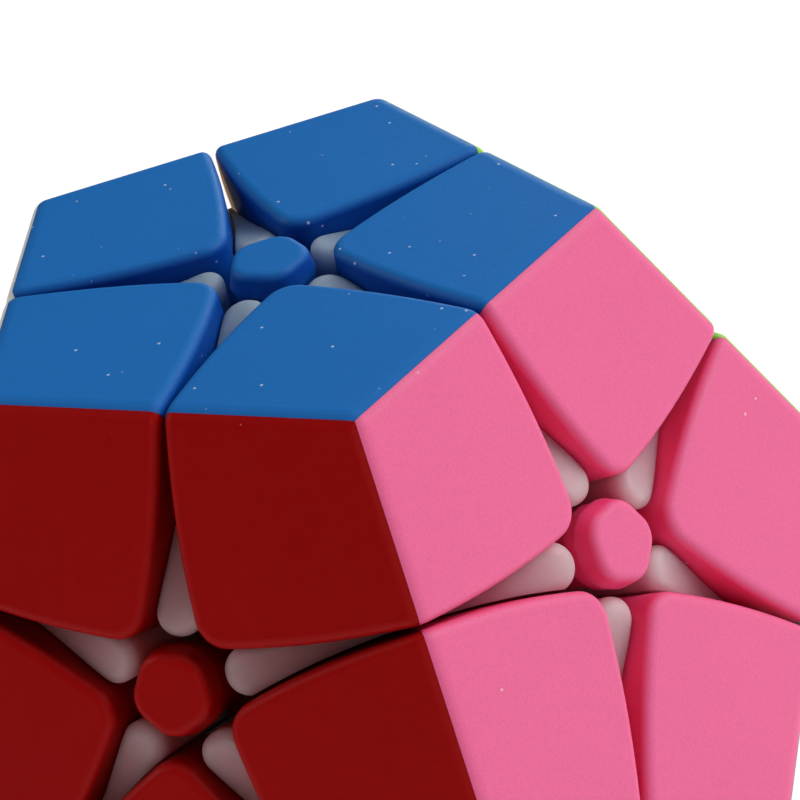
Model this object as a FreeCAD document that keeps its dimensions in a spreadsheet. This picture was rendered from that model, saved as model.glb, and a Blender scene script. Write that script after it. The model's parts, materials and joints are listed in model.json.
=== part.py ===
import FreeCAD, Part
import math
import os
import Sketcher
from FreeCAD import Placement, Rotation, Vector

# Two-layer dodecahedron twisty puzzle: 12 turning faces, 20 corners, 30 internal edges, 12 centres.
# Origin: the centre of the core. +Z goes through the centre of the blue face, and the corner
# shared by the blue, red and pink faces points to -Y.
# Every turning surface is a surface of revolution about a face axis through the origin, so each
# face layer turns freely. Seen outwards from the core there are three shells: the foot shell, the
# neck shell and the outer shell.

ORIGIN = Vector(0, 0, 0)
FACE_ANGLE = math.degrees(math.atan(2.0))
TOUCH_ANGLE = 90.0 - FACE_ANGLE / 2.0
TILES_PER_CORNER = 3

# alias, value (millimetres or degrees), meaning
SIZES = [
    ("face_distance", 33.405, "core centre to each coloured face; the pentagon edge is 30"),
    ("clearance", 0.12, "gap on each side of a turning surface"),
    ("space_radius", 45.0, "outside everything"),
    ("wall_top_angle", 58.711, "half angle of a layer at space_radius"),
    ("wall_bottom_angle", 55.5, "half angle of a layer at the bottom of the outer shell"),
    ("flange_top_radius", 21.5, "outer shell starts here"),
    ("neck_angle", 44.0, "half angle of a layer in the neck shell"),
    ("flange_bottom_radius", 17.0, "neck shell starts here"),
    ("foot_angle", 52.0, "half angle of a layer in the foot shell"),
    ("foot_bottom_radius", 11.3, "foot shell starts here"),
    ("tile_thickness", 1.7, "coloured shell of a corner"),
    ("tile_bottom_radius", 26.5, "the coloured shells end here"),
    ("tip_rounding", 2.4, "corner tip beside the centre"),
    ("seam_rounding", 1.7, "edges of a corner where two coloured faces meet"),
    ("edge_rounding", 0.8, "edges of a corner beside the gaps"),
    ("seam_turn", 0.03, "turn of the seams that keeps them off the corner's planes of symmetry"),
    ("block_width", 120.0, "half space block"),
    ("finger_drop", 1.0, "tip of an internal edge below the coloured face"),
    ("finger_slope", 15.0, "fall of a finger's top from its tip towards the pentagon edge"),
    ("finger_width", 3.7, "internal edge finger"),
    ("finger_start", 3.85, "tip of a finger from the face axis"),
    ("finger_length", 14.1, "finger from its tip to the middle of the internal edge"),
    ("finger_height", 17.0, "finger and leg, from the top of the tip down"),
    ("finger_tip_rounding", 1.8, "end of a finger seen from outside"),
    ("finger_rounding", 0.9, "top edges of a finger"),
    ("boss_top_across", 2.8, "boss axis to the top of a flat side"),
    ("boss_top_corner", 2.0, "boss corner radius at the top"),
    ("boss_foot_across", 3.34, "boss axis to the foot of a flat side, inside the neighbouring layers"),
    ("boss_foot_corner", 3.1, "boss corner radius at the foot"),
    ("boss_top", 33.35, "top of the boss"),
    ("boss_foot", 31.5, "foot of the boss sides and top of its round stem"),
    ("boss_bottom", 30.1, "bottom of the stem and top of the hub"),
    ("boss_stem_radius", 3.25, "round stem of the boss"),
    ("boss_rounding", 0.75, "top edge of the boss"),
    ("plug_radius", 2.0, "plug of the cap in the hub"),
    ("plug_length", 1.1, "plug of the cap in the hub"),
    ("hub_radius", 2.85, "hub tube"),
    ("hub_bore", 2.1, "room for the spring and the screw head"),
    ("hub_flange_angle", 19.435, "half angle of the hub flange"),
    ("hub_collar_radius", 2.6, "hub below its flange"),
    ("hub_bottom", 13.9, "bottom of the hub"),
    ("hub_ledge", 20.0, "seat of the spring"),
    ("screw_hole", 1.4, "hole in the hub bottom, radius"),
    ("screw_radius", 1.25, "M2.5 screw shank"),
    ("screw_tip", 5.0, "end of the screw"),
    ("screw_head_radius", 1.9, "pan head"),
    ("screw_head_bottom", 27.0, "underside of the head"),
    ("screw_head_height", 1.5, "pan head"),
    ("slot_width", 0.5, "screwdriver cross slot"),
    ("slot_length", 2.2, "screwdriver cross slot"),
    ("slot_depth", 0.8, "screwdriver cross slot"),
    ("washer_thickness", 0.4, "washer under the screw head"),
    ("washer_hole", 1.4, "washer hole radius"),
    ("washer_radius", 1.9, "washer outer radius"),
    ("spring_wire", 0.2, "spring wire radius"),
    ("spring_radius", 1.68, "spring mean radius"),
    ("spring_turns", 6.0, "turns of the spring"),
    ("spring_gap", 0.02, "spring end to its seat and to the washer"),
    ("core_radius", 11.0, "core ball"),
    ("post_radius", 2.0, "core post"),
    ("post_top", 13.6, "end face of a core post"),
    ("pilot_radius", 1.27, "screw hole in the core"),
    ("pilot_bottom", 4.6, "bottom of the screw hole"),
]

doc = FreeCAD.newDocument("twisty_dodecahedron")
sheet = doc.addObject("Spreadsheet::Sheet", "Sizes")
for row, (alias, value, meaning) in enumerate(SIZES, start=1):
    sheet.set(f"A{row}", alias)
    sheet.set(f"B{row}", str(value))
    sheet.set(f"C{row}", meaning)
    sheet.setAlias(f"B{row}", alias)
doc.recompute()
size = {alias: value for alias, value, meaning in SIZES}


# ---------------------------------------------------------------- faces, corners and edges

def direction(polar, azimuth):
    """Unit vector at a polar angle from +Z and an azimuth from +X, in degrees."""
    tilt = math.radians(polar)
    turn = math.radians(azimuth)
    return Vector(math.sin(tilt) * math.cos(turn), math.sin(tilt) * math.sin(turn), math.cos(tilt))


UPPER_RING = ["red", "pink", "light_green", "yellow", "white"]
OPPOSITES = {"blue": "light_blue", "red": "orange", "pink": "purple", "light_green": "dark_green",
             "yellow": "cream", "white": "grey"}
FIRST_AZIMUTH = -126.0
AXES = {"blue": Vector(0, 0, 1)}
for place, colour in enumerate(UPPER_RING):
    AXES[colour] = direction(FACE_ANGLE, FIRST_AZIMUTH + 72.0 * place)
for colour, opposite in OPPOSITES.items():
    AXES[opposite] = -AXES[colour]


def neighbours(one, other):
    """True for two faces that share an edge."""
    return abs(AXES[one].dot(AXES[other]) - math.cos(math.radians(FACE_ANGLE))) < 0.01


COLOURS = list(AXES)
EDGES = [(a, b) for i, a in enumerate(COLOURS) for b in COLOURS[i + 1:] if neighbours(a, b)]
CORNERS = [(a, b, c) for a, b in EDGES for c in COLOURS[COLOURS.index(b) + 1:]
           if neighbours(a, c) and neighbours(b, c)]

# The three face layers that can turn without sharing a corner, and the rest, fixed to the core.
LAYERS = {"blue": "blue_layer", "grey": "grey_layer", "dark_green": "green_layer"}


def group_of(colours):
    """The turning layer that a corner or an internal edge belongs to."""
    for colour, layer in LAYERS.items():
        if colour in colours:
            return layer
    return "fixed"


def turned_to(z_axis, y_hint):
    """Rotation that takes +Z to z_axis and +Y as near to y_hint as it can."""
    return Rotation(Vector(), y_hint, z_axis, "ZYX")


# ---------------------------------------------------------------- document helpers

def part_object(kind, name, expressions=None, placement=None):
    """A document object with sizes bound to the sheet."""
    made = doc.addObject(kind, name)
    for prop, expression in (expressions or {}).items():
        made.setExpression(prop, expression)
    if placement is not None:
        made.Placement = placement
    return made


def linked(master, name, rotation):
    """A turned copy of a master object."""
    link = doc.addObject("App::Link", name)
    link.LinkedObject = master
    link.Placement = Placement(ORIGIN, rotation)
    return link


def common(name, shapes):
    made = doc.addObject("Part::MultiCommon", name)
    made.Shapes = shapes
    return made


def fused(name, shapes):
    made = doc.addObject("Part::MultiFuse", name)
    made.Shapes = shapes
    return made


def cut(name, base, tool):
    made = doc.addObject("Part::Cut", name)
    made.Base = base
    made.Tool = tool
    return made


def body_sketch(body, name):
    """An empty sketch on the XZ plane of a body, with its vertical axis on +Z."""
    sketch = body.newObject("Sketcher::SketchObject", name)
    plane = [f for f in body.Origin.OriginFeatures if f.Role == "XZ_Plane"][0]
    sketch.AttachmentSupport = [(plane, "")]
    sketch.MapMode = "FlatFace"
    return sketch


def evaluated(expression):
    """Number that a sheet expression stands for, used to draw a sketch near its final shape."""
    return float(getattr(sheet.evalExpression(expression), "Value", sheet.evalExpression(expression)))


def bind_point(sketch, name, geometry, end, across=None, along=None):
    """Hold one end of a sketch element at expressions for its distance from the axis and height."""
    if across == "0":
        sketch.addConstraint(Sketcher.Constraint("PointOnObject", geometry, end, -2))
    elif across:
        label = name + "_across"
        sketch.addConstraint(Sketcher.Constraint("DistanceX", -1, 1, geometry, end, evaluated(across)))
        sketch.renameConstraint(sketch.ConstraintCount - 1, label)
        sketch.setExpression("Constraints." + label, across)
    if along:
        label = name + "_along"
        sketch.addConstraint(Sketcher.Constraint("DistanceY", -1, 1, geometry, end, evaluated(along)))
        sketch.renameConstraint(sketch.ConstraintCount - 1, label)
        sketch.setExpression("Constraints." + label, along)


def revolved(name, outline):
    """A body turned about +Z.

    outline is a loop of (across, along, round): expressions for the distance from the axis and
    the height, and whether the element that leaves the point is an arc about the origin.
    """
    body = doc.addObject("PartDesign::Body", name)
    sketch = body_sketch(body, name + "_outline")
    points = [Vector(evaluated(across), evaluated(along), 0) for across, along, is_arc in outline]
    count = len(outline)
    for i, (across, along, is_arc) in enumerate(outline):
        start = points[i]
        end = points[(i + 1) % count]
        if is_arc:
            circle = Part.Circle(ORIGIN, Vector(0, 0, 1), start.Length)
            first = math.atan2(start.y, start.x)
            last = math.atan2(end.y, end.x)
            sketch.addGeometry(Part.ArcOfCircle(circle, min(first, last), max(first, last)))
        else:
            sketch.addGeometry(Part.LineSegment(start, end))

    def ends(i):
        """Constraint ends (first, last) of element i along the loop."""
        if not outline[i][2]:
            return 1, 2
        forward = math.atan2(points[i].y, points[i].x) < math.atan2(points[(i + 1) % count].y,
                                                                    points[(i + 1) % count].x)
        return (1, 2) if forward else (2, 1)

    for i in range(count):
        following = (i + 1) % count
        sketch.addConstraint(Sketcher.Constraint("Coincident", i, ends(i)[1], following, ends(following)[0]))
        if outline[i][2]:
            sketch.addConstraint(Sketcher.Constraint("Coincident", i, 3, -1, 1))
    for i, (across, along, is_arc) in enumerate(outline):
        after_arc = outline[i - 1][2]
        bind_point(sketch, f"p{i}", i, ends(i)[0], across, None if after_arc else along)
    turning = body.newObject("PartDesign::Revolution", name + "_turned")
    turning.Profile = sketch
    turning.ReferenceAxis = (sketch, ["V_Axis"])
    turning.Angle = 360.0
    sketch.Visibility = False
    return body


def polar_point(radius, angle, shift="0"):
    """Expressions for a point at a radius and an angle from the axis, shifted sideways inwards."""
    bent = f"({angle} - ({shift}) / ({radius}) * 180 / pi)"
    return f"({radius}) * sin({bent})", f"({radius}) * cos({bent})"


# ---------------------------------------------------------------- space of one face layer

def layer_space(name, side):
    """Everything that turns with one face, the face axis on +Z.

    side is +1 for the space that the pieces inside the layer keep to, and -1 for the space that
    the pieces outside the layer stay out of.
    """
    gap = f"{side} * Sizes.clearance"
    core = f"Sizes.foot_bottom_radius + {side} * Sizes.clearance" if side > 0 else "Sizes.foot_bottom_radius"
    low = f"Sizes.flange_bottom_radius - {side} * Sizes.clearance"
    high = f"Sizes.flange_top_radius + {side} * Sizes.clearance"
    corners = [
        ("0", core, True),
        (*polar_point(core, "Sizes.foot_angle", gap), False),
        (*polar_point(low, "Sizes.foot_angle", gap), True),
        (*polar_point(low, "Sizes.neck_angle", gap), False),
        (*polar_point(high, "Sizes.neck_angle", gap), True),
        (*polar_point(high, "Sizes.wall_bottom_angle", gap), False),
        (*polar_point("Sizes.space_radius", "Sizes.wall_top_angle", gap), True),
        ("0", "Sizes.space_radius", False),
    ]
    return revolved(name, corners)


inside_space = layer_space("inside_space", 1)
outside_space = layer_space("outside_space", -1)

lining_gap = "Sizes.clearance + Sizes.tile_thickness"
lining_cone = revolved("lining_cone", [
    ("0", "Sizes.foot_bottom_radius", False),
    (*polar_point("Sizes.flange_top_radius", "Sizes.wall_bottom_angle", lining_gap), False),
    (*polar_point("Sizes.space_radius", "Sizes.wall_top_angle", lining_gap), False),
    ("0", "Sizes.space_radius", False),
])
doc.recompute()


# ---------------------------------------------------------------- one corner

# The master corner is the one between the blue, red and pink faces.
MASTER_CORNER = ("blue", "red", "pink")
CORNER_AXIS = (AXES["blue"] + AXES["red"] + AXES["pink"]).normalize()


def half_space_block(name, colour, height):
    """Block whose top is parallel to a face, at a height above the core centre."""
    turn = Placement(ORIGIN, Rotation(Vector(0, 0, 1), AXES[colour]))
    centred = Placement(Vector(-size["block_width"] / 2, -size["block_width"] / 2, 0), Rotation())
    sizes = {"Length": "Sizes.block_width", "Width": "Sizes.block_width", "Height": height}
    return part_object("Part::Box", name, sizes, turn * centred)


def corner_space(name, space, height):
    """The part of a space that the three layers of the master corner share, below its faces."""
    shapes = []
    for colour in MASTER_CORNER:
        shapes.append(half_space_block(f"{name}_{colour}_block", colour, height))
        shapes.append(linked(space, f"{name}_{colour}_space", Rotation(Vector(0, 0, 1), AXES[colour])))
    return common(name, shapes)


def rounded(name, base, wanted, radius, top_radius=None):
    """Round the edges of a document object for which wanted(surface, surface, middle) is true.

    An edge that climbs may have another radius at its upper end.
    """
    doc.recompute()
    shape = base.Shape
    edges = []
    for number, edge in enumerate(shape.Edges, start=1):
        sides = shape.ancestorsOfType(edge, Part.Face)
        if len(sides) < 2:
            continue
        middle = edge.valueAt((edge.FirstParameter + edge.LastParameter) / 2)
        if wanted(sides[0].Surface, sides[1].Surface, middle):
            radii = [radius, top_radius or radius]
            if edge.valueAt(edge.FirstParameter).z > edge.valueAt(edge.LastParameter).z:
                radii.reverse()
            edges.append((number, *radii))
    made = doc.addObject("Part::Fillet", name)
    made.Base = base
    made.Edges = edges
    return made


def is_tip_edge(one, other, middle):
    both_walls = not isinstance(one, Part.Plane) and not isinstance(other, Part.Plane)
    in_shell = middle.Length > size["flange_top_radius"] + 1.0
    return both_walls and in_shell


def is_seam_edge(one, other, middle):
    return isinstance(one, Part.Plane) and isinstance(other, Part.Plane)


def is_skin(surface):
    """True for a coloured face and for the roundings between two or three of them."""
    if isinstance(surface, Part.Plane):
        return True
    round_kind = isinstance(surface, (Part.Cylinder, Part.Sphere))
    return round_kind and abs(surface.Radius - size["seam_rounding"]) < 0.001


def is_gap_edge(one, other, middle):
    return is_skin(one) != is_skin(other)


corner_blank = corner_space("corner_blank", inside_space, "Sizes.face_distance")
corner_tips = rounded("corner_tips", corner_blank, is_tip_edge, size["tip_rounding"])
corner_seams = rounded("corner_seams", corner_tips, is_seam_edge, size["seam_rounding"])
corner_whole = rounded("corner_whole", corner_seams, is_gap_edge, size["edge_rounding"])


def corner_sector(name, colour):
    """The third of the master corner that carries one colour, about the corner's own axis."""
    towards = AXES[colour] - CORNER_AXIS * AXES[colour].dot(CORNER_AXIS)
    turn = Rotation(towards, Vector(), CORNER_AXIS, "ZXY")
    start = Rotation(Vector(0, 0, 1), size["seam_turn"] - 180.0 / TILES_PER_CORNER)
    sizes = {"Radius": "Sizes.space_radius", "Height": "Sizes.space_radius"}
    sector = part_object("Part::Cylinder", name, sizes, Placement(ORIGIN, turn * start))
    sector.Angle = 360.0 / TILES_PER_CORNER
    return sector


def ball(name, radius):
    return part_object("Part::Sphere", name, {"Radius": radius})


tile_floor = ball("tile_floor", "Sizes.tile_bottom_radius")
lining = corner_space("lining", lining_cone, "Sizes.face_distance - Sizes.tile_thickness")
corner_inside = fused("corner_inside", [tile_floor, lining])
tile_blank = common("tile_blank", [corner_whole, corner_sector("blue_sector", "blue")])
tile = cut("tile", tile_blank, corner_inside)
corner_body = common("corner_body", [corner_whole, corner_inside])


# ---------------------------------------------------------------- one internal edge

# The master edge has the middle of its pentagon edge on +Z and its own two faces towards +X and -X.
# The layers that pass it by are towards +Y and -Y.
HALF_FACE_ANGLE = FACE_ANGLE / 2.0
OWN_TURNS = [Rotation(Vector(0, 1, 0), side * HALF_FACE_ANGLE) for side in (1, -1)]
PASSING_TURNS = [Rotation(Vector(1, 0, 0), side * TOUCH_ANGLE) for side in (1, -1)]


def on_finger_tip(one, other, middle):
    return abs(middle.x) < 0.001 and abs(middle.z - size["finger_height"] / 2) < 0.001


def on_finger_top(one, other, middle):
    fall = middle.x * math.tan(math.radians(size["finger_slope"]))
    on_roof = abs(middle.z - size["finger_height"] + fall) < 0.001
    return on_roof and middle.x < size["finger_length"] - 0.001


finger_block = part_object("Part::Box", "finger_block", {
    "Length": "Sizes.finger_length", "Width": "Sizes.finger_width", "Height": "Sizes.finger_height"})
finger_tip = rounded("finger_tip", finger_block, on_finger_tip, size["finger_tip_rounding"])
tip_top = Vector(0, 0, size["finger_height"])
roof_plane = Placement(tip_top, Rotation(Vector(0, 1, 0), size["finger_slope"]))
half_block = size["block_width"] / 2
below_roof = Placement(Vector(-half_block, -half_block, -size["block_width"]), Rotation())
roof_sizes = {"Length": "Sizes.block_width", "Width": "Sizes.block_width", "Height": "Sizes.block_width"}
finger_roof = part_object("Part::Box", "finger_roof", roof_sizes, roof_plane * below_roof)
finger_sloped = common("finger_sloped", [finger_tip, finger_roof])
finger = rounded("finger", finger_sloped, on_finger_top, size["finger_rounding"])


def placed_finger(name, turn, side):
    """The finger envelope with its round tip near the face axis that turn gives."""
    low = size["face_distance"] - size["finger_drop"] - size["finger_height"]
    half_turn = Rotation(Vector(0, 0, 1), 0.0 if side < 0 else 180.0)
    across = Placement(Vector(-side * size["finger_start"], side * size["finger_width"] / 2, low), half_turn)
    link = linked(finger, name, Rotation())
    link.Placement = Placement(ORIGIN, turn) * across
    return link


edge_blank = common("edge_blank", [linked(inside_space, f"edge_own_space_{i}", turn)
                                   for i, turn in enumerate(OWN_TURNS)])
edge_passed = fused("edge_passed", [linked(outside_space, f"edge_passing_space_{i}", turn)
                                    for i, turn in enumerate(PASSING_TURNS)])
edge_web = cut("edge_web", edge_blank, edge_passed)
edge_flange = ball("edge_flange", "Sizes.flange_top_radius")
edge_envelope = fused("edge_envelope", [edge_flange] + [
    placed_finger(f"finger_{i}", turn, side) for i, (turn, side) in enumerate(zip(OWN_TURNS, (1, -1)))])
internal_edge = common("internal_edge", [edge_web, edge_envelope])


# ---------------------------------------------------------------- one centre: hub and cap

def round_tool(name, radius, low, high):
    """Cylinder on +Z between two heights."""
    made = part_object("Part::Cylinder", name, {"Radius": radius, "Height": f"({high}) - ({low})"})
    made.setExpression("Placement.Base.z", low)
    return made


flange_low = "Sizes.flange_bottom_radius + Sizes.clearance"
flange_high = "Sizes.flange_top_radius - Sizes.clearance"
flange_side = "Sizes.hub_flange_angle"
hub_solid = revolved("hub_solid", [
    ("0", "Sizes.hub_bottom", False),
    ("Sizes.hub_collar_radius", "Sizes.hub_bottom", False),
    ("Sizes.hub_collar_radius", f"sqrt(({flange_low})^2 - Sizes.hub_collar_radius^2)", True),
    (*polar_point(flange_low, flange_side, "Sizes.clearance"), False),
    (*polar_point(flange_high, flange_side, "Sizes.clearance"), True),
    ("Sizes.hub_radius", f"sqrt(({flange_high})^2 - Sizes.hub_radius^2)", False),
    ("Sizes.hub_radius", "Sizes.boss_bottom", False),
    ("0", "Sizes.boss_bottom", False),
])
hub_bore = round_tool("hub_bore", "Sizes.hub_bore", "Sizes.hub_ledge", "Sizes.boss_bottom")
screw_hole = round_tool("screw_hole", "Sizes.screw_hole", "Sizes.hub_bottom", "Sizes.hub_ledge")
hub = cut("hub", hub_solid, fused("hub_hollow", [hub_bore, screw_hole]))


def boss_outline(name, across, height):
    """Pentagon about +Z whose flat sides face the neighbouring faces once the boss is placed."""
    made = part_object("Part::RegularPolygon", name, {"Circumradius": f"{across} / cos(36)"})
    made.Polygon = 5
    made.setExpression("Placement.Base.z", height)
    return made


def on_boss_side(one, other, middle):
    return size["boss_foot"] + 0.001 < middle.z < size["boss_top"] - 0.001


def on_boss_top(one, other, middle):
    return abs(middle.z - size["boss_top"]) < 0.001


# The sides lean outwards and their flats narrow downwards, because the corners are rounder at the foot.
boss_blank = doc.addObject("Part::Loft", "boss_blank")
boss_blank.Sections = [boss_outline("boss_foot_outline", "Sizes.boss_foot_across", "Sizes.boss_foot"),
                       boss_outline("boss_top_outline", "Sizes.boss_top_across", "Sizes.boss_top")]
boss_blank.Solid = True
boss_blank.Ruled = True
boss_radii = (size["boss_foot_corner"], size["boss_top_corner"])
boss_sides = rounded("boss_sides", boss_blank, on_boss_side, *boss_radii)
boss = rounded("boss", boss_sides, on_boss_top, size["boss_rounding"])
boss_link = linked(boss, "boss_placed", Rotation(Vector(0, 0, 1), -90.0))
stem = round_tool("stem", "Sizes.boss_stem_radius", "Sizes.boss_bottom", "Sizes.boss_foot")
plug = round_tool("plug", "Sizes.plug_radius", "Sizes.boss_bottom - Sizes.plug_length", "Sizes.boss_foot")
cap = fused("cap", [boss_link, stem, plug])


# ---------------------------------------------------------------- screw, washer and spring

head_top = "Sizes.screw_head_bottom + Sizes.screw_head_height"
screw_shank = round_tool("screw_shank", "Sizes.screw_radius", "Sizes.screw_tip", "Sizes.screw_head_bottom")
screw_head = round_tool("screw_head", "Sizes.screw_head_radius", "Sizes.screw_head_bottom", head_top)


def slot(name, length, width):
    """One bar of the cross slot in the screw head."""
    made = part_object("Part::Box", name, {"Length": length, "Width": width, "Height": "Sizes.slot_depth"})
    made.setExpression("Placement.Base.x", f"-({length}) / 2")
    made.setExpression("Placement.Base.y", f"-({width}) / 2")
    made.setExpression("Placement.Base.z", f"{head_top} - Sizes.slot_depth")
    return made


cross_slot = fused("cross_slot", [slot("slot_one", "Sizes.slot_length", "Sizes.slot_width"),
                                  slot("slot_two", "Sizes.slot_width", "Sizes.slot_length")])
screw = cut("screw", fused("screw_blank", [screw_shank, screw_head]), cross_slot)

washer_top = "Sizes.screw_head_bottom"
washer_bottom = "Sizes.screw_head_bottom - Sizes.washer_thickness"
washer_disc = round_tool("washer_disc", "Sizes.washer_radius", washer_bottom, washer_top)
washer_bore = round_tool("washer_bore", "Sizes.washer_hole", washer_bottom, washer_top)
washer = cut("washer", washer_disc, washer_bore)

spring_length = f"({washer_bottom}) - Sizes.hub_ledge - 2 * Sizes.spring_wire - 2 * Sizes.spring_gap"
coil_sizes = {
    "Radius": "Sizes.spring_radius",
    "Height": spring_length,
    "Pitch": f"({spring_length}) / Sizes.spring_turns",
}
coil = part_object("Part::Helix", "coil", coil_sizes)
coil.setExpression("Placement.Base.z", "Sizes.hub_ledge + Sizes.spring_wire + Sizes.spring_gap")
doc.recompute()
wire = part_object("Part::Circle", "spring_wire", {"Radius": "Sizes.spring_wire"})
wire.Placement = Placement(coil.Shape.Edges[0].valueAt(coil.Shape.Edges[0].FirstParameter),
                           Rotation(Vector(1, 0, 0), 90.0))
spring = doc.addObject("Part::Sweep", "spring")
spring.Sections = [wire]
spring.Spine = (coil, [f"Edge{i + 1}" for i in range(len(coil.Shape.Edges))])
spring.Solid = True
spring.Frenet = True


# ---------------------------------------------------------------- core

post = round_tool("post", "Sizes.post_radius", "Sizes.pilot_bottom", "Sizes.post_top")
pilot = round_tool("pilot", "Sizes.pilot_radius", "Sizes.pilot_bottom", "Sizes.space_radius")
FACE_TURNS = {colour: Rotation(Vector(0, 0, 1), axis) for colour, axis in AXES.items()}
core_ball = ball("core_ball", "Sizes.core_radius")
posts = [linked(post, f"post_{colour}", turn) for colour, turn in FACE_TURNS.items()]
pilots = [linked(pilot, f"pilot_{colour}", turn) for colour, turn in FACE_TURNS.items()]
core_blank = fused("core_blank", [core_ball, *posts])
core_holes = fused("core_holes", pilots)
core_part = cut("core_part", core_blank, core_holes)


# ---------------------------------------------------------------- the sub-parts of the puzzle

nodes = []


def node(label, *placed):
    """A sub-part: copies of masters, each a (master, rotation), as separate solids."""
    made = doc.addObject("Part::Compound", label)
    made.Label = label
    made.Links = [linked(master, f"{label}_{i}", rotation) for i, (master, rotation) in enumerate(placed)]
    made.Placement = Placement()
    nodes.append((made, len(placed)))
    return made


def corner_turn(face, corner):
    """Rotation from the blue face of the master corner to a face of another corner."""
    axis = sum((AXES[colour] for colour in corner), Vector())
    return turned_to(AXES[face], -axis)


def edge_turn(pair):
    """Rotation from the master internal edge to the one between two faces."""
    middle = AXES[pair[0]] + AXES[pair[1]]
    return Rotation(AXES[pair[0]], Vector(), middle, "ZXY")


for group in [*LAYERS.values(), "fixed"]:
    corners = [corner for corner in CORNERS if group_of(corner) == group]
    for colour in COLOURS:
        tiles = [(tile, corner_turn(colour, corner)) for corner in corners if colour in corner]
        if tiles:
            node(f"{group}_{colour}_tiles", *tiles)
    node(f"{group}_corner_bodies", *[(corner_body, corner_turn(corner[0], corner)) for corner in corners])
    node(f"{group}_internal_edges", *[(internal_edge, edge_turn(pair)) for pair in EDGES
                                      if group_of(pair) == group])

centre_turns = {}
for colour in COLOURS:
    corner = [corner for corner in CORNERS if colour in corner][0]
    centre_turns[colour] = corner_turn(colour, corner)
    node(f"{colour}_centre", (hub, centre_turns[colour]), (cap, centre_turns[colour]))

node("core", (core_part, Rotation()))
node("centre_screws", *[(screw, turn) for turn in centre_turns.values()])
node("centre_springs", *[(spring, turn) for turn in centre_turns.values()])
node("screw_washers", *[(washer, turn) for turn in centre_turns.values()])
doc.recompute()


# ---------------------------------------------------------------- checks and export

for made in doc.Objects:
    if "Invalid" in made.State or "Error" in made.State:
        raise RuntimeError(f"{made.Name} did not build: {made.State}")
for made, solids in nodes:
    shape = made.Shape
    if shape.isNull() or not shape.isValid() or len(shape.Solids) != solids:
        raise RuntimeError(f"{made.Label} is not {solids} valid solids")

os.makedirs("parts", exist_ok=True)
for made, solids in nodes:
    made.Shape.exportStep(f"parts/{made.Label}.step")
    print(f"{made.Label:36} {solids:3} solids {made.Shape.Volume:10.1f} mm3")
print(len(nodes), "nodes")
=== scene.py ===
import json
import math

import bpy
from mathutils import Matrix, Vector


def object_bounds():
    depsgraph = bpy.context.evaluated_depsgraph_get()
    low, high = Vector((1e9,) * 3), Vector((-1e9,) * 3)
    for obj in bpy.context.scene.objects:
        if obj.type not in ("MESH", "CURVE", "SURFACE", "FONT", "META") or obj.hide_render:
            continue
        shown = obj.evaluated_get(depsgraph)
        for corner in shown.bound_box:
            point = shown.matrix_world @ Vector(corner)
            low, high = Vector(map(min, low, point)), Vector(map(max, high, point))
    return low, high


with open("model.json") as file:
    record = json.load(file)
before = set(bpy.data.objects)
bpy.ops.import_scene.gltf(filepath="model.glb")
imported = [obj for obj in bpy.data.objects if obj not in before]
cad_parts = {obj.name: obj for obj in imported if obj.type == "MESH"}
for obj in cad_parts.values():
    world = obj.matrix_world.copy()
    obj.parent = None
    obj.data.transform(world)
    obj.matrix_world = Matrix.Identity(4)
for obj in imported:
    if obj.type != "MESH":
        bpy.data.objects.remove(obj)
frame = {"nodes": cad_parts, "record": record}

# Looks of the dodecahedron twisty puzzle, in metres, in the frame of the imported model:
# the origin is the centre of the core, +Z is the blue face, and -Y is the corner of blue, red and pink.

MM = 0.001
FACE_DISTANCE = 33.405 * MM
FACE_POLAR = math.degrees(math.atan(2.0))
cad_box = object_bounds()

# Linear base colours of the moulded plastics, by material slot.
PLASTICS = {
    "blue_plastic": (0.013, 0.162, 0.510),
    "red_plastic": (0.405, 0.0012, 0.0012),
    "pink_plastic": (0.900, 0.152, 0.335),
    "light_green_plastic": (0.330, 0.640, 0.090),
    "yellow_plastic": (0.900, 0.640, 0.015),
    "white_plastic": (0.840, 0.845, 0.830),
    "light_blue_plastic": (0.130, 0.480, 0.760),
    "orange_plastic": (0.880, 0.210, 0.010),
    "purple_plastic": (0.210, 0.055, 0.400),
    "dark_green_plastic": (0.006, 0.190, 0.050),
    "cream_plastic": (0.820, 0.720, 0.460),
    "grey_plastic": (0.260, 0.270, 0.285),
}
NYLON = (0.84, 0.82, 0.80)
STEEL = (0.62, 0.62, 0.64)
SPRING_STEEL = (0.50, 0.50, 0.52)
# The milky plastic's own grey, and the painted reflected light of the tiles that it takes on beside some
# faces.
MILKY = (0.66, 0.62, 0.62)
PAINTED_OUTER_BOUNCES = {"red": (0.94, 0.44, 0.46), "pink": (0.98, 0.57, 0.60), "blue": (0.34, 0.43, 0.53)}

# Noise gives most of its values between these two, and they are stretched to the ends of a range.
NOISE_LOW = 0.3
NOISE_HIGH = 0.7

# Pattern scales, in cells per metre.
CLOUDS = 90.0
MILKY_CLOUDS = 160.0
STEEL_CLOUDS = 1500.0
PAPER_CLOUDS = 60.0
GRAIN = 5500.0
MILKY_GRAIN = 2500.0
STEEL_GRAIN = 6000.0
GLOSS_PATCHES = 700.0
MILKY_GLOSS_PATCHES = 900.0
DUST_CELLS = 700.0

# Brightness of a tile in the troughs and on the crests of its grain pattern, in its dark and its light
# clouds: painted shade in the troughs and painted highlight on the crests, over the plastic's own cloudy
# tone.
PAINTED_TROUGH_SHADES = (0.94, 0.97)
PAINTED_CREST_HIGHLIGHTS = (1.02, 1.05)
# Brightness of the dark clouds in the other materials.
MILKY_CLOUD_SHADE = 0.93
STEEL_CLOUD_SHADE = 0.85
# Heights of the grain.
GRAIN_HEIGHT = 0.03 * MM
MILKY_GRAIN_HEIGHT = 0.01 * MM
STEEL_GRAIN_HEIGHT = 0.005 * MM
# How far light gets into the plastics.
TILE_LIGHT_DEPTH = 2.0 * MM
MILKY_LIGHT_DEPTH = 8.0 * MM
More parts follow.
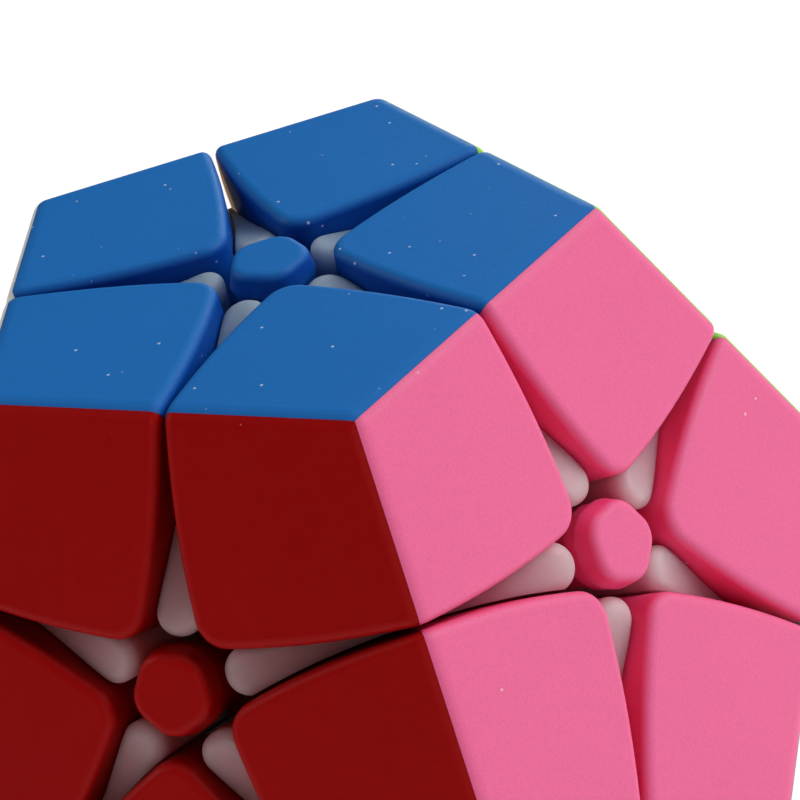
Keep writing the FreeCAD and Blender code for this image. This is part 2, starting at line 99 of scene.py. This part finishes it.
# Below the coloured face the sides of a tile carry painted shade, deeper and darker in colour, from here to
# here.
WALL_START = 0.08 * MM
WALL_END = 0.8 * MM
WALL_GLOW = 0.8
# Milky plastic takes painted reflected light of each face's tiles at these depths below a face, turning
# darker deeper down as painted shade, and has this weight for its own colour.
PAINTED_BOUNCE_START = 1.0 * MM
PAINTED_SHADE_DEEP = 3.2 * MM
PAINTED_BOUNCE_END = 12.0 * MM
PAINTED_BOUNCE_SHARPNESS = 4.0
OWN_WEIGHT = 0.003
# Share of the dust cells with a speck, and the radius of a speck in cells.
DUST = {"blue_plastic": 0.5}
LITTLE_DUST = 0.06
SPECK_RADIUS = 0.10
SHEEN = {"red_plastic": 0.12, "blue_plastic": 0.14, "pink_plastic": 0.26}
USUAL_SHEEN = 0.20

# Face axis of each colour, from the core outwards.
UPPER_RING = ["red", "pink", "light_green", "yellow", "white"]
RING_START = -126
RING_STEP = 72
OPPOSITES = {"blue": "light_blue", "red": "orange", "pink": "purple", "light_green": "dark_green",
             "yellow": "cream", "white": "grey"}
AXES = {"blue": Vector((0, 0, 1))}
for step, colour_name in enumerate(UPPER_RING):
    turn = Matrix.Rotation(math.radians(RING_START + RING_STEP * step), 3, "Z")
    AXES[colour_name] = turn @ Matrix.Rotation(math.radians(FACE_POLAR), 3, "Y") @ Vector((0, 0, 1))
for colour_name, opposite in OPPOSITES.items():
    AXES[opposite] = -AXES[colour_name]


def painted_wall_shade(colour):
    """Painted shade for the walls of a tile: darker and more saturated, as light that met the same plastic
    more than once.
    """
    peak = max(colour)
    return tuple(peak ** 1.6 * (c / peak) ** 1.5 for c in colour)


# ---------------------------------------------------------------- node helpers

# Sockets of a Mix node for colours.
MIX_SHARE = 0
MIX_LOW = 6
MIX_HIGH = 7
MIXED = 2


def node(tree, kind, place=(0, 0), **settings):
    """A shader node with its properties, and its inputs given by name or number."""
    made = tree.nodes.new(kind)
    made.location = place
    for key, value in settings.pop("inputs", {}).items():
        made.inputs[key].default_value = value
    for key, value in settings.items():
        setattr(made, key, value)
    return made


def link(tree, source, output, target, entry):
    tree.links.new(source.outputs[output], target.inputs[entry])


def fresh_material(name):
    """A material with one Principled shader, the object's own coordinates in metres."""
    material = bpy.data.materials.new(name)
    material.use_nodes = True
    tree = material.node_tree
    tree.nodes.clear()
    output = node(tree, "ShaderNodeOutputMaterial", (900, 0))
    shader = node(tree, "ShaderNodeBsdfPrincipled", (600, 0))
    link(tree, shader, "BSDF", output, "Surface")
    place = node(tree, "ShaderNodeTexCoord", (-1200, 0))
    return material, tree, shader, place


def noise(tree, place, scale, detail=2.0, roughness=0.5):
    made = node(tree, "ShaderNodeTexNoise", (-900, 0), noise_dimensions="3D",
                inputs={"Scale": scale, "Detail": detail, "Roughness": roughness})
    link(tree, place, "Object", made, "Vector")
    return made


def remap(tree, source, output, low, high, new_low, new_high):
    made = node(tree, "ShaderNodeMapRange", (-600, 0), clamp=True,
                inputs={"From Min": low, "From Max": high, "To Min": new_low, "To Max": new_high})
    link(tree, source, output, made, "Value")
    return made


def spread(tree, source, new_low=0.0, new_high=1.0):
    """The values of a noise node, stretched over a range."""
    return remap(tree, source, "Fac", NOISE_LOW, NOISE_HIGH, new_low, new_high)


def blend_colour(tree, share, low, high):
    """A colour between two, each a tuple or a node."""
    made = node(tree, "ShaderNodeMix", (-200, 0), data_type="RGBA")
    link(tree, share, "Result", made, MIX_SHARE)
    for entry, colour in ((MIX_LOW, low), (MIX_HIGH, high)):
        if isinstance(colour, tuple):
            made.inputs[entry].default_value = (*colour, 1.0)
        else:
            link(tree, colour, MIXED, made, entry)
    return made


def maths(tree, operation, first, second, kind="ShaderNodeMath"):
    """A maths node on two entries, each a constant or a pair of a node and its output."""
    made = node(tree, kind, (0, 600), operation=operation)
    for entry, value in ((0, first), ("Scale" if operation == "SCALE" else 1, second)):
        if isinstance(value, tuple):
            link(tree, *value, made, entry)
        else:
            made.inputs[entry].default_value = value
    return made


def vector_maths(tree, operation, first, second):
    return maths(tree, operation, first, second, kind="ShaderNodeVectorMath")


def depth_below(tree, place, axis, start, end):
    """0 at a depth of start below the coloured face of an axis, 1 at a depth of end."""
    along = vector_maths(tree, "DOT_PRODUCT", (place, "Object"), axis)
    return remap(tree, along, "Value", FACE_DISTANCE - start, FACE_DISTANCE - end, 0.0, 1.0)


def with_painted_bounce_light(tree, place, body, painted_bounce_colours):
    """The body's colour, overruled near each face by painted reflected light of its tiles: the first colour
    outside, the second deeper and darker, as painted shade.
    """
    colours = vector_maths(tree, "SCALE", (body, MIXED), OWN_WEIGHT)
    weights = maths(tree, "ADD", OWN_WEIGHT, 0.0)
    for name, (outer, inner) in painted_bounce_colours.items():
        nearness = depth_below(tree, place, AXES[name], PAINTED_BOUNCE_END, PAINTED_BOUNCE_START)
        weight = maths(tree, "POWER", (nearness, "Result"), PAINTED_BOUNCE_SHARPNESS)
        painted_shade_by_depth = depth_below(tree, place, AXES[name], PAINTED_BOUNCE_START, PAINTED_SHADE_DEEP)
        colour = blend_colour(tree, painted_shade_by_depth, outer, inner)
        part = vector_maths(tree, "SCALE", (colour, MIXED), (weight, "Value"))
        colours = vector_maths(tree, "ADD", (colours, "Vector"), (part, "Vector"))
        weights = maths(tree, "ADD", (weights, "Value"), (weight, "Value"))
    inverse = maths(tree, "DIVIDE", 1.0, (weights, "Value"))
    return vector_maths(tree, "SCALE", (colours, "Vector"), (inverse, "Value"))


def grain(tree, place, shader, scale, height, strength):
    """Fine moulded grain as a bump."""
    bumps = noise(tree, place, scale, detail=3.0, roughness=0.6)
    bump = node(tree, "ShaderNodeBump", (300, -400), inputs={"Strength": strength, "Distance": height})
    link(tree, bumps, "Fac", bump, "Height")
    link(tree, bump, "Normal", shader, "Normal")


def specks(tree, place, scale, share, radius):
    """1 on small dust specks: a share of the cells of a Voronoi pattern, each with a speck this wide."""
    cells = node(tree, "ShaderNodeTexVoronoi", (-900, -300), voronoi_dimensions="3D", feature="F1",
                 inputs={"Scale": scale, "Randomness": 1.0})
    link(tree, place, "Object", cells, "Vector")
    near = remap(tree, cells, "Distance", radius * 0.6, radius, 1.0, 0.0)
    chosen = node(tree, "ShaderNodeSeparateColor", (-700, -500))
    link(tree, cells, "Color", chosen, "Color")
    rare = remap(tree, chosen, "Red", 1.0 - share, 1.0 - share * 0.8, 0.0, 1.0)
    return maths(tree, "MULTIPLY", (near, "Result"), (rare, "Result"))


# ---------------------------------------------------------------- materials

def moulded_plastic(slot, colour):
    """Satin plastic, coloured through, with a fine grain bump, faint flow marks and a little dust; painted
    shade and painted highlight on its grain pattern, and painted shade on the walls below its face.
    """
    material, tree, shader, place = fresh_material(slot)
    cloudy = spread(tree, noise(tree, place, CLOUDS, detail=3.0))
    grains = noise(tree, place, GRAIN, detail=2.0, roughness=0.7)
    grainy = remap(tree, grains, "Fac", 0.35, 0.65, 0.0, 1.0)
    # Painted shade in the grain pattern's troughs and painted highlight on its crests, over the plastic's
    # own cloudy tone.
    painted_troughs, painted_crests = (
        blend_colour(tree, cloudy, *[tuple(min(1.0, c * shade) for c in colour) for shade in shades])
        for shades in (PAINTED_TROUGH_SHADES, PAINTED_CREST_HIGHLIGHTS))
    body = blend_colour(tree, grainy, painted_troughs, painted_crests)
    # Mask of the walls below the face: it darkens the colour there as painted shade, and sets the subsurface
    # weight.
    wall = depth_below(tree, place, AXES[slot[:-len("_plastic")]], WALL_START, WALL_END)
    painted_shade_by_depth = blend_colour(tree, wall, body, painted_wall_shade(colour))
    dust = specks(tree, place, DUST_CELLS, DUST.get(slot, LITTLE_DUST), SPECK_RADIUS)
    dusty = node(tree, "ShaderNodeMix", (100, 0), data_type="RGBA")
    link(tree, dust, "Value", dusty, MIX_SHARE)
    link(tree, painted_shade_by_depth, MIXED, dusty, MIX_LOW)
    dusty.inputs[MIX_HIGH].default_value = (*[0.5 + 0.5 * c for c in colour], 1.0)
    link(tree, dusty, MIXED, shader, "Base Color")
    glow = remap(tree, wall, "Result", 0.0, 1.0, 0.0, WALL_GLOW)
    link(tree, glow, "Result", shader, "Subsurface Weight")
    peak = max(colour)
    shader.inputs["Subsurface Radius"].default_value = tuple(0.1 + 0.9 * c / peak for c in colour)
    shader.inputs["Subsurface Scale"].default_value = TILE_LIGHT_DEPTH
    rough = spread(tree, noise(tree, place, GLOSS_PATCHES), 0.44, 0.52)
    link(tree, rough, "Result", shader, "Roughness")
    shader.inputs["IOR"].default_value = 1.46
    shader.inputs["Specular IOR Level"].default_value = SHEEN.get(slot, USUAL_SHEEN)
    grain(tree, place, shader, GRAIN, GRAIN_HEIGHT, 0.6)
    return material


def milky_plastic(slot, colour, milkiness, clearness, painted_bounce_colours):
    """Smooth off-white plastic that light enters a little way, with painted reflected light of the tiles
    around it.
    """
    material, tree, shader, place = fresh_material(slot)
    share = spread(tree, noise(tree, place, MILKY_CLOUDS, detail=3.0))
    body = blend_colour(tree, share, tuple(c * MILKY_CLOUD_SHADE for c in colour), colour)
    if painted_bounce_colours:
        body = with_painted_bounce_light(tree, place, body, painted_bounce_colours)
    link(tree, body, "Vector" if painted_bounce_colours else MIXED, shader, "Base Color")
    rough = spread(tree, noise(tree, place, MILKY_GLOSS_PATCHES), 0.42, 0.52)
    link(tree, rough, "Result", shader, "Roughness")
    shader.inputs["Subsurface Weight"].default_value = milkiness
    shader.inputs["Subsurface Radius"].default_value = (1.0, 0.85, 0.8)
    shader.inputs["Subsurface Scale"].default_value = MILKY_LIGHT_DEPTH
    shader.inputs["Specular IOR Level"].default_value = 0.25
    shader.inputs["Transmission Weight"].default_value = clearness
    grain(tree, place, shader, MILKY_GRAIN, MILKY_GRAIN_HEIGHT, 0.1)
    return material


def metal(slot, colour, low, high):
    """Bright plated or drawn steel."""
    material, tree, shader, place = fresh_material(slot)
    shader.inputs["Metallic"].default_value = 1.0
    clouds = noise(tree, place, STEEL_CLOUDS, detail=4.0)
    body = blend_colour(tree, spread(tree, clouds), tuple(c * STEEL_CLOUD_SHADE for c in colour), colour)
    link(tree, body, MIXED, shader, "Base Color")
    rough = spread(tree, clouds, low, high)
    link(tree, rough, "Result", shader, "Roughness")
    grain(tree, place, shader, STEEL_GRAIN, STEEL_GRAIN_HEIGHT, 0.2)
    return material


MATERIALS = {slot: moulded_plastic(slot, colour) for slot, colour in PLASTICS.items()}
# Beside the tiles of each other face the milky plastic takes its own grey with painted reflected light of
# their colour, darker deeper down as painted shade.
PAINTED_BOUNCE_TABLE = {}
for colour_name in AXES:
    tile = PLASTICS[colour_name + "_plastic"]
    hue = [c / max(tile) for c in tile]
    # Painted reflected light of each face's tiles on the milky plastic, and a darker painted shade of it
    # deeper down.
    painted_outer_bounce = PAINTED_OUTER_BOUNCES.get(colour_name) or tuple(m * (0.62 + 0.45 * h) for m, h in zip(MILKY, hue))
    PAINTED_BOUNCE_TABLE[colour_name] = (painted_outer_bounce, tuple(t * (0.30 + 0.70 * h) for t, h in zip(painted_outer_bounce, hue)))
MATERIALS["clear_white_plastic"] = milky_plastic("clear_white_plastic", MILKY, 1.0, 0.12, PAINTED_BOUNCE_TABLE)
MATERIALS["white_nylon"] = milky_plastic("white_nylon", NYLON, 0.4, 0.0, {})
MATERIALS["steel"] = metal("steel", STEEL, 0.22, 0.36)
MATERIALS["spring_steel"] = metal("spring_steel", SPRING_STEEL, 0.18, 0.30)

slot_of = {row["node"]: row["material_slot"] for row in frame["record"]["subparts"]}
for name, piece in frame["nodes"].items():
    for holder in piece.material_slots:
        holder.material = MATERIALS[slot_of[name]]


# ---------------------------------------------------------------- floor, light and camera

FLOOR_HALF = 1.2
FLOOR_GLOW = 0.36
LIGHT_DISTANCE = 0.8
lowest = cad_box[0]
bpy.ops.mesh.primitive_plane_add(size=2 * FLOOR_HALF, location=(0, 0, lowest.z))
floor = bpy.context.object
floor.name = "floor"
pale, tree, shader, place = fresh_material("pale_floor")
tone = spread(tree, noise(tree, place, PAPER_CLOUDS))
link(tree, blend_colour(tree, tone, (0.90, 0.90, 0.90), (0.92, 0.92, 0.92)), MIXED, shader, "Base Color")
shader.inputs["Roughness"].default_value = 0.8
shader.inputs["Specular IOR Level"].default_value = 0.1
shader.inputs["Emission Color"].default_value = (1.0, 1.0, 1.0, 1.0)
shader.inputs["Emission Strength"].default_value = FLOOR_GLOW
floor.data.materials.append(pale)


def softbox(name, azimuth, elevation, width, height, brightness):
    """Soft light that faces the puzzle, from an azimuth counted from +X and an elevation above the floor.

    brightness is what a white card at the puzzle that faces the light would show.
    """
    data = bpy.data.lights.new(name, "AREA")
    data.shape = "RECTANGLE"
    data.size = width
    data.size_y = height
    data.energy = brightness * (math.pi * LIGHT_DISTANCE) ** 2
    lamp = bpy.data.objects.new(name, data)
    bpy.context.scene.collection.objects.link(lamp)
    turn = Matrix.Rotation(math.radians(azimuth), 3, "Z") @ Matrix.Rotation(math.radians(-elevation), 3, "Y")
    direction = turn @ Vector((1, 0, 0))
    lamp.location = direction * LIGHT_DISTANCE
    lamp.rotation_mode = "QUATERNION"
    lamp.rotation_quaternion = direction.to_track_quat("Z", "Y")


softbox("key_light", -8, 42, 0.50, 0.50, 0.70)
softbox("left_light", 155, 28, 0.28, 0.28, 0.20)
softbox("top_light", 80, 75, 0.50, 0.50, 0.13)
softbox("front_light", -100, 28, 0.30, 0.30, 0.12)
softbox("rim_light", 50, 13, 0.60, 0.22, 0.25)

world = bpy.data.worlds.new("studio")
bpy.context.scene.world = world
world.use_nodes = True
air = world.node_tree
air.nodes.clear()
# The room is dim, so that the softboxes shape the puzzle, and the backdrop behind it is white.
WHITE = (1.0, 1.0, 1.0, 1.0)
room = node(air, "ShaderNodeBackground", (0, 100), inputs={"Color": WHITE, "Strength": 0.05})
backdrop = node(air, "ShaderNodeBackground", (0, -100), inputs={"Color": WHITE, "Strength": 1.0})
ray = node(air, "ShaderNodeLightPath", (0, 400))
either = node(air, "ShaderNodeMixShader", (300, 0))
out = node(air, "ShaderNodeOutputWorld", (600, 0))
link(air, ray, "Is Camera Ray", either, 0)
link(air, room, "Background", either, 1)
link(air, backdrop, "Background", either, 2)
link(air, either, "Shader", out, "Surface")

CAMERA_PLACE = Vector((-18.98, -161.64, 123.37)) * MM
CAMERA_AIM = Vector((5.42, -12.69, 25.30)) * MM
CAMERA_ROLL = 12.93
CAMERA_LENS = 109.1
camera_data = bpy.data.cameras.new("camera")
camera_data.lens = CAMERA_LENS
camera_data.sensor_width = 36.0
camera = bpy.data.objects.new("camera", camera_data)
bpy.context.scene.collection.objects.link(camera)
aim = (CAMERA_AIM - CAMERA_PLACE).to_track_quat("-Z", "Y").to_matrix().to_4x4()
roll = Matrix.Rotation(math.radians(-CAMERA_ROLL), 4, "Z")
camera.matrix_world = Matrix.Translation(CAMERA_PLACE) @ aim @ roll
bpy.context.scene.camera = camera
bpy.context.scene.view_settings.view_transform = "Standard"
